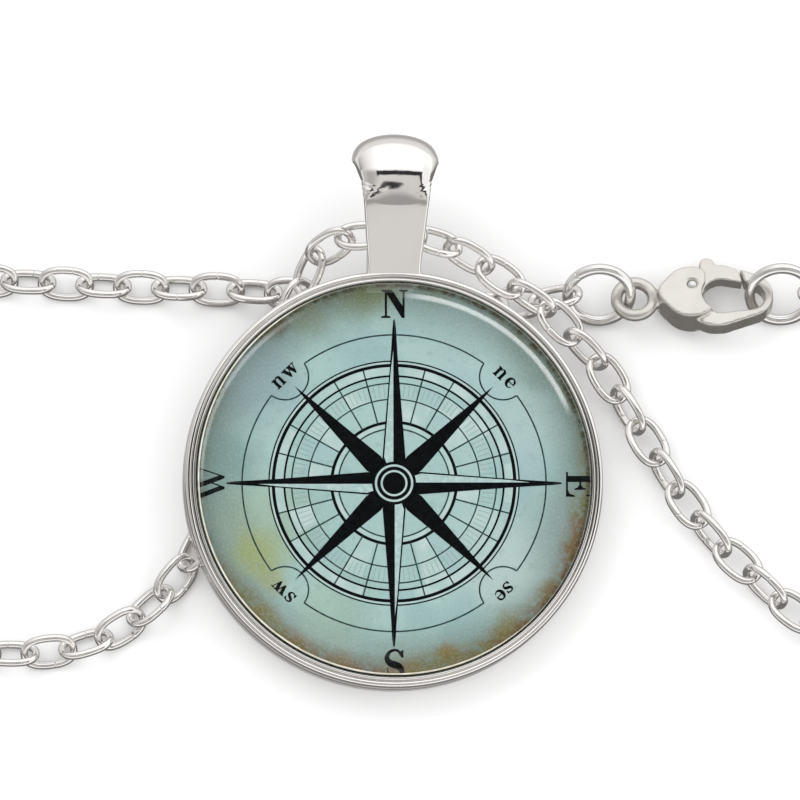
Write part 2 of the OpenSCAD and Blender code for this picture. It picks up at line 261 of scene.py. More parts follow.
def bent(d, n, k):
    """Directions d after passing into another medium at the normals n."""
    c = -(d * n).sum(-1, keepdims=True)
    return k * d + (k * c - np.sqrt(np.maximum(1 - k * k * (1 - c * c), 0.02))) * n


def to_card(p):
    """Pixels from the print's middle (x right, y up) to mm on the card, along the camera's rays through the dome."""
    p = np.asarray(p, float)
    u, v = (HUB[0] + p[..., 0:1] - PHOTO / 2) * PX, (PHOTO / 2 - HUB[1] + p[..., 1:2]) * PX
    d = (u * RIGHT + v * UP - DIST / MM * CAM) @ PR
    d /= np.linalg.norm(d, axis=-1, keepdims=True)
    o = (EYE - PN[:3, 3]) / MM @ PR
    c = o - [0, 0, DOME_Z]
    b_ = (d * c).sum(-1, keepdims=True)
    t = -b_ - np.sqrt(np.maximum(b_ * b_ - (c @ c - DOME_R**2), 0))
    hit = o + t * d
    d = bent(d, (c + t * d) / DOME_R, 1 / IOR)
    hit = hit - d * (hit[..., 2:] - GLASS_Z) / d[..., 2:]
    d = bent(d, np.array([0, 0, 1.0]), IOR)
    q = (hit + d * (GLASS_Z - PRINT_Z) / np.abs(d[..., 2:]))[..., :2]
    far = np.maximum(np.linalg.norm(q, axis=-1, keepdims=True), PRINT_R)
    return q * PRINT_R / far


def reach_at(px):
    """Radius in the card's picture coordinates that shows px pixels from the middle."""
    return float(np.linalg.norm(to_card([px, 0]))) / SHEET


# Card: aged aqua paper. Spots are (x, y from the hub in photo pixels, reach, colour, share)
AQUA = (0.335, 0.485, 0.465)
SPOTS = [
    (112, -80, 52, (0.43, 0.53, 0.51), 0.75),
    (124, 57, 48, (0.39, 0.50, 0.50), 0.6),
    (75, 108, 46, (0.37, 0.51, 0.51), 0.5),
    (-128, -36, 50, (0.29, 0.39, 0.29), 0.7),
    (-60, -128, 40, (0.31, 0.43, 0.34), 0.6),
    (-168, 24, 42, (0.185, 0.285, 0.27), 0.7),
    (-136, 108, 50, (0.24, 0.325, 0.345), 0.65),
    (70, 165, 44, (0.27, 0.37, 0.37), 0.5),
    (172, -40, 46, (0.24, 0.31, 0.30), 0.6),
    (-136, -66, 30, (0.285, 0.33, 0.115), 0.8),
    (-122, -94, 18, (0.31, 0.33, 0.14), 0.6),
    (-158, -30, 26, (0.23, 0.30, 0.22), 0.5),
    (-24, 192, 30, (0.15, 0.185, 0.085), 0.85),
    (-90, 172, 26, (0.19, 0.23, 0.14), 0.6),
    (-124, 156, 16, (0.10, 0.07, 0.03), 0.8),
    (40, 192, 20, (0.17, 0.21, 0.13), 0.6),
    (197, 22, 12, (0.16, 0.075, 0.02), 0.95),
    (194, 44, 9, (0.10, 0.05, 0.02), 0.9),
    (195, -18, 10, (0.17, 0.10, 0.035), 0.9),
    (187, -60, 13, (0.18, 0.15, 0.05), 0.85),
    (160, -108, 18, (0.21, 0.19, 0.07), 0.75),
    (118, -152, 22, (0.22, 0.19, 0.06), 0.8),
    (56, -176, 13, (0.24, 0.13, 0.035), 0.85),
    (14, -186, 22, (0.23, 0.19, 0.09), 0.7),
    (-56, -178, 20, (0.25, 0.16, 0.07), 0.75),
    (-98, -158, 16, (0.26, 0.16, 0.08), 0.7),
    (-132, -134, 18, (0.22, 0.20, 0.09), 0.65),
    (-172, -92, 14, (0.20, 0.18, 0.08), 0.6),
]
CARD, nt, out = tree_of("aged_print")
uv = add(nt, "ShaderNodeTexCoord").outputs["UV"]
big = add(nt, "ShaderNodeTexNoise", [(0, uv)], i2=7.0, i3=4.0).outputs
fine = noise(nt, uv, 42.0, 5.0)
grain = noise(nt, uv, 170.0, 3.0)
warp = add(nt, "ShaderNodeVectorMath", [(0, big["Color"])], operation="SUBTRACT", i1=(0.5, 0.5, 0.5))
warp = add(nt, "ShaderNodeVectorMath", [(0, warp.outputs[0])], operation="SCALE")
warp.inputs["Scale"].default_value = 0.10
pos = add(nt, "ShaderNodeVectorMath", [(0, uv), (1, warp.outputs[0])], operation="ADD").outputs[0]
middle = measure(nt, "DISTANCE", pos, (0.5, 0.5, 0.0))
col = mix(nt, mapped(nt, big[0], 0.36, 0.64), (0.285, 0.43, 0.425), (0.35, 0.50, 0.475))
col = mix(nt, mapped(nt, middle, reach_at(120), reach_at(60), 0.0, 0.7), col, AQUA)
col = mix(nt, mapped(nt, middle, reach_at(140), reach_at(192)), col, (0.20, 0.27, 0.245))
for x, y, reach, tone, share in SPOTS:
    q = to_card([x - 0.36, y - 0.8]) / SHEET + 0.5
    size = reach * PX / SHEET
    away = measure(nt, "DISTANCE", pos, (q[0], q[1], 0.0))
    col = mix(nt, mapped(nt, away, size * 1.35, size * 0.25, 0.0, share), col, tone)
# brown and olive edge of the picture, broken up by the noise
edge = mapped(nt, middle, reach_at(184), reach_at(199))
edge = maths(nt, "MULTIPLY", edge, mapped(nt, fine, 0.40, 0.6, 0.2, 0.85))
col = mix(nt, edge, col, (0.13, 0.125, 0.065))
sep = add(nt, "ShaderNodeSeparateXYZ", [(0, pos)])
low_part = maths(nt, "ADD", sep.outputs[1], maths(nt, "MULTIPLY", sep.outputs[0], -0.35))
low_part = mapped(nt, low_part, 0.34, 0.10, 0.0, 1.0)
patchy = mapped(nt, fine, 0.36, 0.56, 0.25, 1.0)
tone = mix(nt, mapped(nt, big["Color"], 0.46, 0.56), (0.195, 0.18, 0.062), (0.21, 0.122, 0.048))
edge = mapped(nt, middle, reach_at(172), reach_at(193))
edge = maths(nt, "MULTIPLY", edge, maths(nt, "MULTIPLY", low_part, patchy))
col = mix(nt, maths(nt, "MULTIPLY", edge, 0.9), col, tone)
# the outermost line is darker still
edge = mapped(nt, measure(nt, "DISTANCE", uv, (0.5, 0.5, 0.0)), reach_at(190.5), reach_at(195))
edge = maths(nt, "MULTIPLY", edge, mapped(nt, fine, 0.38, 0.55, 0.45, 0.95))
col = mix(nt, edge, col, (0.05, 0.04, 0.018))
stain = maths(nt, "MULTIPLY", mapped(nt, fine, 0.55, 0.70), 0.32)
col = mix(nt, stain, col, (0.22, 0.31, 0.29))
light = maths(nt, "MULTIPLY", mapped(nt, grain, 0.45, 0.66), 0.13)
col = mix(nt, light, col, (0.55, 0.66, 0.63))
surface(nt, out, col, Roughness=0.6, Specular_IOR_Level=0.0)


def paint(name, dark, light_tone, scale=3500.0, rough=0.6, spots=(0.35, 0.7), detail=3.0):
    """A dull colour with fine clouds between two tones."""
    m, nt, out = tree_of(name)
    n = noise(nt, add(nt, "ShaderNodeTexCoord").outputs["Object"], scale, detail)
    surface(nt, out, mix(nt, mapped(nt, n, *spots), dark, light_tone), Roughness=rough, Specular_IOR_Level=0.0)
    return m


INK = paint("print_ink", (0.0008, 0.0012, 0.002), (0.003, 0.004, 0.005))
SOFT_INK = paint("print_soft_ink", (0.012, 0.03, 0.03), (0.045, 0.08, 0.078))
GREY_INK = paint("print_grey_ink", (0.20, 0.29, 0.285), (0.27, 0.37, 0.36))
# painted highlight: a pale cream colour that stands in for the shine of the glass's rounded edge
EDGE_HIGHLIGHT = paint("painted_edge_highlight", (0.60, 0.565, 0.46), (0.78, 0.75, 0.66), 1500.0)
PALE = paint("print_pale", (0.34, 0.47, 0.455), (0.44, 0.57, 0.55))
WASH = paint("print_wash", (0.37, 0.505, 0.485), (0.46, 0.57, 0.555), 900.0)

# ---------------------------------------------------------------- tray and bail
profile = [(0, 0), (6, 0), (12, 0)]
profile += arc(13.25, 0.25, 0.25, -90, 0, 7)
profile += [(13.5, 1.0), (13.5, 1.66)]
profile += [(13.47, 1.71), (13.42, 1.77), (13.405, 1.8), (13.42, 1.83), (13.47, 1.89), (13.5, 1.94)]
profile += [(13.5, 2.3), (13.5, 2.62)]
profile += arc(13.25, 2.7, 0.25, 4, 140, 16, 0.3)
profile += [(13.035, 2.875)]
profile += arc(12.895, 2.85, 0.125, 25, 176, 14, 0.13)
profile += [(12.768, 2.8), (12.76, 2.0), (12.76, 0.86), (12.70, 0.80), (12, 0.8), (0, 0.8)]
tray_verts, tray_faces = lathe(profile, 720)

TOP_W = 2.79  # half the bail's width at its top
CAP_Y, CAP_R = 19.6, 2.8  # the cap's arc; its middle is also CAP_R above the tray's back
CAP_START = -8.0  # degrees, where the arc takes over from the strap
CROWN_R, CROWN_HALF = 5.205, 2.2157  # the cap's shallow arc across, and where it ends
SIDES_Y = [12.61, 13.945, 16.526, 19.107, 20.175, 21.0, 23]
SIDES_W = [1.72, 1.72, 1.998, 2.362, 2.597, TOP_W, TOP_W]


def half_width(y):
    return float(np.interp(y, SIDES_Y, SIDES_W))


def crown(x):
    """How far the cap's outline falls from its top at x, mm."""
    x = min(abs(x), TOP_W)
    if x < CROWN_HALF:
        return CROWN_R - math.sqrt(CROWN_R**2 - x * x)
    # then a corner of radius 1
    return 1.4 - math.sqrt(max(0.0, 1 - (x - TOP_W + 1) ** 2))


# stations along the loop's outside: the point (y, z), how far the section swells, its edge's rounding, half its width
outer, cushion, rounds, widths = [], [], [], []
RISE = 0.4613  # slope of the flat strap
STRAP = (13.75, 3.18752)  # a point on it
FOLD_Y = 17.5  # the strap starts to bend here
BACK_W = 1.6  # half the loop's width at the back


def station(y, z, puff, r, w):
    outer.append((y, z))
    cushion.append(puff)
    rounds.append(r)
    widths.append(w)


def strap_station(y, z):
    station(y, z, 0.34 * smoothstep((y - 17.2) / 1.7), 0.16 + 0.3 * smoothstep((y - 17.1) / 1.6), half_width(y))


def cap_point(a):
    return CAP_Y + CAP_R * math.sin(math.radians(a)), CAP_R + CAP_R * math.cos(math.radians(a))


for y in np.linspace(13.1, 17.42, 15):
    strap_station(y, STRAP[1] + RISE * (y - STRAP[0]))
y, z = FOLD_Y, outer[-1][1] + RISE * 0.08
step = (cap_point(CAP_START)[0] - FOLD_Y) / 15
for fall in np.linspace(-20.5, CAP_START, 15):
    strap_station(y, z)
    y, z = y + step, z + step * math.tan(math.radians(-fall))
drop = cap_point(CAP_START)[1] - z
for a in np.linspace(CAP_START, 180, 54):
    y, z = cap_point(a)
    z -= drop * (1 - smoothstep((a - 60) / 90))
    puff = 0.34 + 0.66 * smoothstep((a + 14) / 94)
    if a >= 90:
        puff = 0.15 + 0.85 * (1 - smoothstep((a - 90) / 75))
    w = half_width(y)
    if a > 70:
        w = min(w, TOP_W - (TOP_W - BACK_W) * smoothstep((a - 70) / 80))
    station(y, z, puff, 0.46 + 0.06 * smoothstep((a + 24.8) / 30) - 0.32 * smoothstep((a - 110) / 60), w)
for y in np.linspace(CAP_Y, 13.2, 10)[1:]:
    station(y, 0.0, 0.05, 0.2, BACK_W)
for z in (0.5, 1.2, 1.9, 2.5):
    station(13.15, z, 0.05, 0.2, BACK_W)
# inside of the loop: hull of two circles (y, z, radius), met from each outer point along its shortest way
in_a, in_b = (15.28, 1.88, 1.03), (CAP_Y, CAP_R, 1.95)
dist = math.hypot(in_b[0] - in_a[0], in_b[1] - in_a[1])
side = 90 + math.degrees(math.asin((in_b[2] - in_a[2]) / dist))
run = math.degrees(math.atan2(in_b[1] - in_a[1], in_b[0] - in_a[0]))
hull = arc(*in_b, run - side, run + side, 41) + arc(*in_a, run + side, run + 360 - side, 25)
dense = np.concatenate([np.linspace(a, b, 12, endpoint=False) for a, b in zip(hull, hull[1:] + hull[:1])])
inner = []
for y, z in outer:
    d = np.hypot(dense[:, 0] - y, dense[:, 1] - z)
    inner.append(tuple(dense[d.argmin()]))
outer, inner = np.array(outer), np.array(inner)
# even out where many outer points met one inner point
for _ in range(6):
    inner = 0.5 * inner + 0.25 * (np.roll(inner, 1, 0) + np.roll(inner, -1, 0))
    d = np.hypot(dense[:, None, 0] - inner[None, :, 0], dense[:, None, 1] - inner[None, :, 1])
    inner = dense[d.argmin(0)]
INNER_ROUND, LEAST_ROUND = 0.12, 0.16


def section(w, r1, thick):
    """Closed section across the loop: (x, depth) from the outer face's left edge round to the inner face."""
    r2 = INNER_ROUND
    rx = LEAST_ROUND + (r1 - LEAST_ROUND) * 3.1  # the edge is wider than deep
    half = [(w - rx + rx * math.sin(a), r1 - r1 * math.cos(a)) for a in np.radians([15, 30, 45, 60, 75, 90])]
    half += [(w - r2 + r2 * math.cos(a), thick - r2 + r2 * math.sin(a)) for a in np.radians([0, 30, 60, 90])]
    sec = [(x, 0.0) for x in np.linspace(-(w - rx), w - rx, 23)] + half
    sec += [(x, thick) for x in np.linspace(w - r2, -(w - r2), 15)[1:-1]]
    return sec + [(-x, depth) for x, depth in half[::-1]]


def grid(rows, per):
    """Quads between closed rows of per points each; the last row joins the first."""
    i, j = np.meshgrid(np.arange(rows), np.arange(per), indexing="ij")
    on, side = (i + 1) % rows * per, (j + 1) % per
    return np.stack([i * per + j, i * per + side, on + side, on + j], -1).reshape(-1, 4)


bail_verts = []
for (oy, oz), (iy, iz), k, r1, w in zip(outer, inner, cushion, rounds, widths):
    thick = math.hypot(iy - oy, iz - oz)
    dy, dz = (iy - oy) / thick, (iz - oz) / thick
    # the strap's front is bowed a little across, just below the cap
    bow = 0.085 * smoothstep((oy - 15.5) / 1.9) * (1 - smoothstep((oy - 17.9) / 1.4)) * (oz > 2.8)
    for x, depth in section(w, r1, thick):
        deep = depth + k * crown(x * TOP_W / w) * (1 - 0.3 * depth / thick)
        bail_verts.append((x, oy + dy * deep + bow * x * x, oz + dz * deep + bow * x * x * 0.42))
bail_faces = grid(len(outer), len(bail_verts) // len(outer)) + len(tray_verts)
verts = np.concatenate([tray_verts, np.array(bail_verts)])
me = new_mesh("tray_cast", on_pendant(verts), tray_faces + bail_faces.tolist(), 40)
bm = bmesh.new()
bm.from_mesh(me)
# every normal outwards, of the turning and of the bail
bmesh.ops.recalc_face_normals(bm, faces=bm.faces)
bm.to_mesh(me)
bm.free()
new_piece("tray_cast", me, TRAY, "necklace", "tray")

# ---------------------------------------------------------------- card and print
profile = [(0, 0.84), (12.66, 0.84), (12.7, 0.86), (12.7, 1.12), (12.66, 1.14), (8, 1.14), (4, 1.14), (0, 1.14)]
verts, faces = lathe(profile, 192)
me = new_mesh("card_disc", on_pendant(verts), faces, 30)
layer = me.uv_layers.new(name="UVMap")
idx = np.zeros(len(me.loops), np.int32)
me.loops.foreach_get("vertex_index", idx)
layer.data.foreach_set("uv", (verts[idx][:, :2] / SHEET + 0.5).astype(np.float32).ravel())
new_piece("card_disc", me, CARD, "necklace", "card")

# the last kind is not ink but a painted highlight of the glass's edge
INKS = {"ink": INK, "soft": SOFT_INK, "grey": GREY_INK, "pale": PALE, "wash": WASH, "edge_highlight": EDGE_HIGHLIGHT}
plates = {kind: ([], []) for kind in INKS}
LAYER = 0.004  # mm between the levels of print


def plate(kind, pts, level=0, as_seen=False):
    """A thin closed plate of print on the card; pts are pixels from the print's middle, y up."""
    pts = np.asarray(pts, float) * (1, 1 if as_seen else SQUEEZE)
    dense = []
    for a, b in zip(pts, np.roll(pts, -1, 0)):
        n = max(1, int(np.hypot(*(b - a)) // 4))
        dense += [a + (b - a) * t for t in np.linspace(0, 1, n, endpoint=False)]
    q = to_card(np.array(dense))
    top = PRINT_Z + LAYER * max(level, -0.8)
    tris = tessellate_polygon([[Vector((x, y, 0)) for x, y in q]])
    vs, fs = plates[kind]
    base, n = len(vs), len(q)
    vs.extend((x, y, top) for x, y in q)
    vs.extend((x, y, PRINT_LOW) for x, y in q)
    sides = [(q[j] - q[i], q[k] - q[i]) for i, j, k in tris]
    up = sum(a[0] * b[1] - b[0] * a[1] for a, b in sides)
    for t in tris:
        t = t if up > 0 else t[::-1]
        fs.append(tuple(base + i for i in t))
        fs.append(tuple(base + n + i for i in t[::-1]))
    for i in range(n):
        j = (i + 1) % n
        fs.append((base + j, base + i, base + n + i, base + n + j))


def polar(r, a):
    """Pixels from the hub at radius r, a degrees clockwise from the top."""
    return (r * math.sin(math.radians(a)), r * math.cos(math.radians(a)))


def ring(kind, r, w, a0=0.0, a1=360.0, level=0):
    """A line along a circle, cut into pieces short enough for simple plates."""
    parts = max(1, int(math.ceil((a1 - a0) / 45)))
    edges = np.linspace(a0, a1, parts + 1)
    for s, e in zip(edges[:-1], edges[1:]):
        n = max(2, int((e - s) / 2.5))
        aa = np.linspace(s, e, n + 1)
        plate(kind, [polar(r + w / 2, a) for a in aa] + [polar(r - w / 2, a) for a in aa[::-1]], level)


def ray(kind, a, r0, r1, w, level=0):
    d = np.array(polar(1, a))
    t = np.array([d[1], -d[0]])
    plate(kind, [d * r0 + t * w / 2, d * r1 + t * w / 2, d * r1 - t * w / 2, d * r0 - t * w / 2], level)


# rings, from the outside in
OUT_R, GAP = 152.0, 8.75
for q in range(4):
    mid_a = 45 + 90 * q
    ring("soft", OUT_R, 1.6, mid_a + GAP, mid_a + 90 - GAP)
    # notch round each small label
    mid = np.array(polar(OUT_R + 2, mid_a))
    ends = [np.array(polar(OUT_R, mid_a + s * GAP)) for s in (1, -1)]
    a = [math.atan2(*(e - mid)[::-1]) for e in ends]
    inward = math.atan2(*(-mid)[::-1])
    rel = [(x - inward + math.pi) % (2 * math.pi) - math.pi for x in a]
    aa = np.linspace(rel[0], rel[1], 30) + inward
    way = np.stack([np.cos(aa), np.sin(aa)], 1)
    r = np.linalg.norm(ends[0] - mid)
    plate("soft", np.concatenate([mid + (r + 0.8) * way, mid + (r - 0.8) * way[::-1]]))
ring("wash", 123.3, 1.7)
ring("ink", 125.1, 1.3, level=1)
ring("ink", 120.7, 3.2, level=1)
ring("ink", 109.7, 1.9, level=1)
ring("soft", 102.4, 1.5)
ring("soft", 86.0, 1.4)
ring("ink", 62.4, 3.0)
ring("soft", 55.7, 1.5)
# paler fields between the rings: two radii and two angles each
FIELDS = [(111, 119, -90, -62), (111, 119, -40, -2), (111, 119, 5, 74), (111, 119, 80, 100), (111, 119, 118, 170)]
FIELDS += [(111, 119, 196, 240), (111, 119, 255, 268), (57, 60.5, 0, 360)]
FIELDS += [(63, 86, 2, 26), (86, 102, 31, 44), (63, 86, 46, 60), (86, 109, 46, 62), (63, 102, -60, -48)]
FIELDS += [(63, 86, 92, 104), (86, 109, 105, 118), (63, 109, 150, 163), (63, 102, 198, 210)]
FIELDS += [(86, 109, 242, 256), (63, 86, 271, 284), (86, 102, 330, 343)]
for r0, r1, a0, a1 in FIELDS:
    ring("wash", (r0 + r1) / 2, r1 - r0, a0, a1, level=-1)
for a in range(0, 360, 15):
    if a % 45:
        ray("soft", a, 62, 120, 1.5)
for a in range(0, 360, 3):
    if a % 15:
        ray("grey", a, 88.5, 100.5, 0.55)
# needles, as points (way out, to the clockwise side): the four short ones are black, the four long ones have
# a black side clockwise and a pale one inside a black line
SHORT = [(140.5, 0), (124, 1.9), (29, 10.2), (4, 5), (4, -5), (29, -10.2), (124, -1.9)]
LONG_LINE = [(168, 0.6), (167, -0.8), (158, -1.6), (141, -2.6), (116, -4.4), (26, -11.6), (9, -6), (9, 1)]
LONG_PALE = [(136, -0.8), (116, -3.2), (27.0, -9.9), (16, -6.0), (17, -0.7)]
LONG_DARK = [(167, 0.9), (158, 1.9), (141, 2.8), (116, 4.4), (26, 11.4), (9, 8), (6, 0), (6, -0.5)]


def needle(kind, pts, a, level):
    d, t = np.array(polar(1, a)), np.array(polar(1, a + 90))
    plate(kind, [d * x + t * y for x, y in pts], level)


for a in range(45, 360, 90):
    needle("ink", SHORT, a, 1)
for a in range(0, 360, 90):
    needle("ink", LONG_LINE, a, 2)
    needle("pale", LONG_PALE, a, 3)
    needle("ink", LONG_DARK, a, 4)
# hub
ring("ink", 11, 22, level=5)
ring("wash", 18.1, 2.2, level=6)
ring("wash", 12.4, 2.0, level=6)


def stroke(points, widths, n=8):
    """Outline of a pen stroke through the points with the given widths."""
    p, w = np.array(points, float), np.array(widths, float)
    pp = np.concatenate([[2 * p[0] - p[1]], p, [2 * p[-1] - p[-2]]])
    c, ws = [], []
    for i in range(len(p) - 1):
        for t in np.linspace(0, 1, n, endpoint=False):
            a0, a1, a2, a3 = pp[i : i + 4]
            curve, twist = 2 * a0 - 5 * a1 + 4 * a2 - a3, 3 * a1 - a0 - 3 * a2 + a3
            c.append(0.5 * (2 * a1 + (a2 - a0) * t + curve * t**2 + twist * t**3))
            ws.append(w[i] + (w[i + 1] - w[i]) * t)
    c.append(p[-1])
    ws.append(w[-1])
    c, ws = np.array(c), np.array(ws)
    d = np.gradient(c, axis=0)
    d /= np.linalg.norm(d, axis=1)[:, None]
    t = np.stack([-d[:, 1], d[:, 0]], 1) * ws[:, None] / 2
    return np.concatenate([c + t, (c - t)[::-1]])


LETTERS = {
    "N": [
        [(-9.7, 1.4), (-7.5, 1.4), (-7.5, 27), (-9.7, 27)],
        [(-13.2, 0), (-4, 0), (-4, 1.6), (-7.0, 2.3), (-10.2, 2.3), (-13.2, 1.6)],
        [(-13, 28.3), (-13, 26.9), (-9.7, 25.6), (-9.7, 23.4), (-7.4, 23.4)]
        + [(7.4, 0), (10.1, 0), (10.1, 12.2), (8.0, 12.2), (-2.6, 28.3)],
        [(8.0, 11), (10.1, 11), (10.1, 27), (8.0, 27)],
        [(4.6, 28.3), (4.6, 26.9), (7.6, 26.0), (10.6, 26.0), (13.4, 26.9), (13.4, 28.3)],
    ],
    "E": [
        [(-8.1, 1), (-2.0, 1), (-2.0, 27), (-8.1, 27)],
        [(-12, 0), (12.6, 0), (12.9, 9.0), (11.6, 9.0), (9.6, 3.6), (5.6, 1.9), (-2, 1.9), (-12, 1.9)],
        [(-12, 28), (-12, 26.3), (-2, 26.3), (5.4, 26.1), (9.2, 24.6), (10.6, 20.2), (11.8, 20.2), (11.8, 28)],
        [(-2, 13.3), (1, 13.3), (3.8, 11.2), (4.5, 8.4), (5.8, 8.4)]
        + [(5.8, 20.0), (4.5, 20.0), (3.8, 17.2), (1, 15.2), (-2, 15.2)],
    ],
    "W": [
        [(-16.2, 29), (-11.0, 29), (-1.8, 4.6), (-3.4, 0), (-4.9, 0)],
        [(-3.9, 0), (-2.7, 0), (3.4, 17.5), (2.0, 17.5)],
        [(-5.2, 29), (0.0, 29), (8.9, 4.6), (7.4, 0), (5.7, 0)],
        [(6.6, 0), (7.9, 0), (17.6, 29), (16.2, 29)],
        [(-19.5, 29), (-19.5, 27.6), (-8.5, 27.6), (-8.5, 29)],
        [(-8.2, 29), (-8.2, 27.6), (2.8, 27.6), (2.8, 29)],
        [(13.0, 29), (13.0, 27.6), (20.5, 27.6), (20.5, 29)],
    ],
    "S": [
        stroke(
            [(-6.6, 4.4), (-4.2, 2.0), (-1.1, 1.3), (3.6, 2.9), (6.5, 7.2), (6.1, 11.4), (3.2, 14.4)]
            + [(-1.0, 15.9), (-5.3, 17.9), (-7.9, 21.0), (-8.1, 24.7), (-5.3, 28.2)],
            [2.3, 2.4, 2.5, 2.9, 4.4, 5.6, 6.8, 7.3, 6.8, 5.5, 4.2, 3.0],
        ),
        [(-5.4, 5.2), (-6.8, 2.4), (-9.7, 1.0), (-9.9, 8.8), (-7.8, 8.8)],
        [(6.9, 19.7), (6.0, 19.7), (4.3, 25.0), (5.5, 25.0)],
    ],
    "n": [
        [(-5.8, 0), (-0.6, 0), (-0.6, 1.3), (-1.4, 1.5), (-1.4, 11.4)]
        + [(-5.8, 11.2), (-5.8, 9.9), (-4.7, 9.6), (-4.7, 1.5), (-5.8, 1.3)],
        stroke(
            [(-1.6, 8.6), (0.2, 10.6), (2.2, 10.6), (3.4, 8.8), (3.4, 5), (3.4, 0.6)],
            [0.9, 1.4, 2.2, 3.2, 3.3, 3.3],
        ),
        [(0.9, 0), (6.0, 0), (6.0, 1.3), (5.0, 1.5), (1.8, 1.5), (0.9, 1.3)],
    ],
    "w": [
        [(-8.0, 11.2), (-2.0, 11.2), (-2.0, 10.0), (-3.0, 9.8), (-0.9, 3.9)]
        + [(-2.2, 0), (-3.2, 0), (-6.9, 9.8), (-8.0, 10.0)],
        [(-3.0, 0), (-2.0, 0), (1.0, 8.2), (0.2, 9.6)],
        [(-1.2, 11.2), (4.4, 11.2), (4.4, 10.0), (3.5, 9.8), (5.4, 3.9)]
        + [(4.0, 0), (3.0, 0), (-0.3, 9.8), (-1.2, 10.0)],
        [(3.2, 0), (4.2, 0), (7.6, 9.8), (6.6, 9.8)],
        [(5.0, 11.2), (5.0, 10.0), (8.8, 10.0), (8.8, 11.2)],
    ],
    "e": [
        stroke(
            [(4.4, 6.0), (3.6, 9.2), (0.6, 11.0), (-2.4, 9.4), (-3.3, 5.6), (-2.2, 2.2), (0.8, 0.7), (4.2, 2.4)],
            [1.4, 2.4, 1.4, 2.8, 3.7, 3.0, 1.5, 0.8],
        ),
        [(-2.6, 5.4), (5.1, 5.4), (5.1, 6.5), (-2.6, 6.5)],
    ],
    "s": [
        stroke(
            [(3.6, 8.6), (2.0, 10.5), (-0.4, 10.9), (-2.6, 9.6), (-2.4, 7.4), (0.0, 6.0)]
            + [(2.4, 4.6), (2.8, 2.4), (1.0, 0.7), (-1.6, 0.7), (-3.8, 3.0)],
            [1.0, 1.2, 1.4, 2.0, 2.8, 3.2, 2.8, 2.2, 1.4, 1.3, 1.0],
        ),
        [(3.0, 11.2), (2.6, 8.0), (4.2, 8.0), (4.2, 11.2)],
        [(-4.4, 0), (-4.4, 3.6), (-2.8, 3.6), (-2.8, 0)],
    ],
}


def letter(ch, angle, radius, shift, scale=1.0, as_seen=False):
    """A letter that stands on a circle about the hub, its feet to the middle."""
    d, t = np.array(polar(1, angle)), np.array(polar(1, angle + 90))
    for poly in LETTERS[ch]:
        poly = np.asarray(poly, float) * scale
        plate("ink", d * radius + poly[:, 1:2] * d + (poly[:, 0:1] + shift) * t, 1, as_seen)


letter("N", 0, 165.2, 0.44, as_seen=True)
letter("E", 90, 171.94, 0.8, as_seen=True)
letter("S", 180, 165.6, 0.36, as_seen=True)
letter("W", 270, 169.46, -0.8, as_seen=True)
for a, pair, r, *shifts in (
    (-45, "nw", 149.3, -8.2, 7.7),
    (45, "ne", 149.3, -4.8, 9.2),
    (135, "se", 150.4, -5.0, 5.6),
    (225, "sw", 150.4, -8.9, 4.6),
):
    for ch, shift in zip(pair, shifts):
        letter(ch, a, r, shift, 0.96)

SEAM_R = 12.665  # where the glass meets the metal


def round_strip(n, section_at):
    """A closed strip round the print on the plates of painted edge highlight; section_at gives the (r, z) of its
    section at an angle.
    """
    vs, fs = plates["edge_highlight"]
    base = len(vs)
    for a in np.linspace(0, 2 * math.pi, n, endpoint=False):
        sec = section_at(a)
        vs.extend((r * math.cos(a), r * math.sin(a), z) for r, z in sec)
    fs.extend((grid(n, len(sec)) + base).tolist())


def highlight_border(a):
    """Pale ring on the paper's edge, a painted highlight in place of the glass edge's shine, a little wider to the
    upper left.
    """
    r = 12.56 - 0.07 * (1 + math.cos(a - math.radians(128)))
    return [(r, 1.1462), (12.65, 1.1462), (12.65, 1.1402), (r, 1.1402)]


def painted_seam_highlight(a):
    """Painted highlight of the glass's rounded edge: a pale seam where the glass meets the metal, from the lower
    right round the left.
    """
    bearing = (90 - math.degrees(a)) % 360
    t = smoothstep((bearing - 128) / 30) * (1 - smoothstep((bearing - 318) / 22))
    rows = ((SEAM_R - 0.008 - 0.08 * t, 0.004), (SEAM_R - 0.004 - 0.04 * t, 0.01 + 0.01 * t), (SEAM_R, 0.004))
    return [(r, DOME_Z + math.sqrt(DOME_R**2 - r * r) + lift) for r, lift in rows]


# painted highlights round the print's edge, where the glass edge would shine
round_strip(240, highlight_border)
round_strip(480, painted_seam_highlight)
for kind, mat in INKS.items():
    vs, fs = plates[kind]
    me = new_mesh("print_" + kind, on_pendant(vs), fs, flat=True)
    new_piece("print_" + kind, me, mat, "necklace", "card")

# ---------------------------------------------------------------- glass
profile = [(0, GLASS_Z), (6, GLASS_Z), (12.5, GLASS_Z)] + arc(12.6, GLASS_Z + 0.1, 0.1, -80, 0, 5)
profile += [(12.7, 2.0), (12.7, 2.98), (12.695, 3.04)]
edge = math.degrees(math.acos(12.66 / DOME_R))
profile += arc(0, DOME_Z, DOME_R, edge, 90, 64)
verts, faces = lathe(profile, 320)
me = new_mesh("glass_cabochon", on_pendant(verts), faces, 50)
glass = new_piece("glass_cabochon", me, GLASS, "necklace", "glass_dome")
glass.visible_shadow = False
glass.visible_diffuse = False


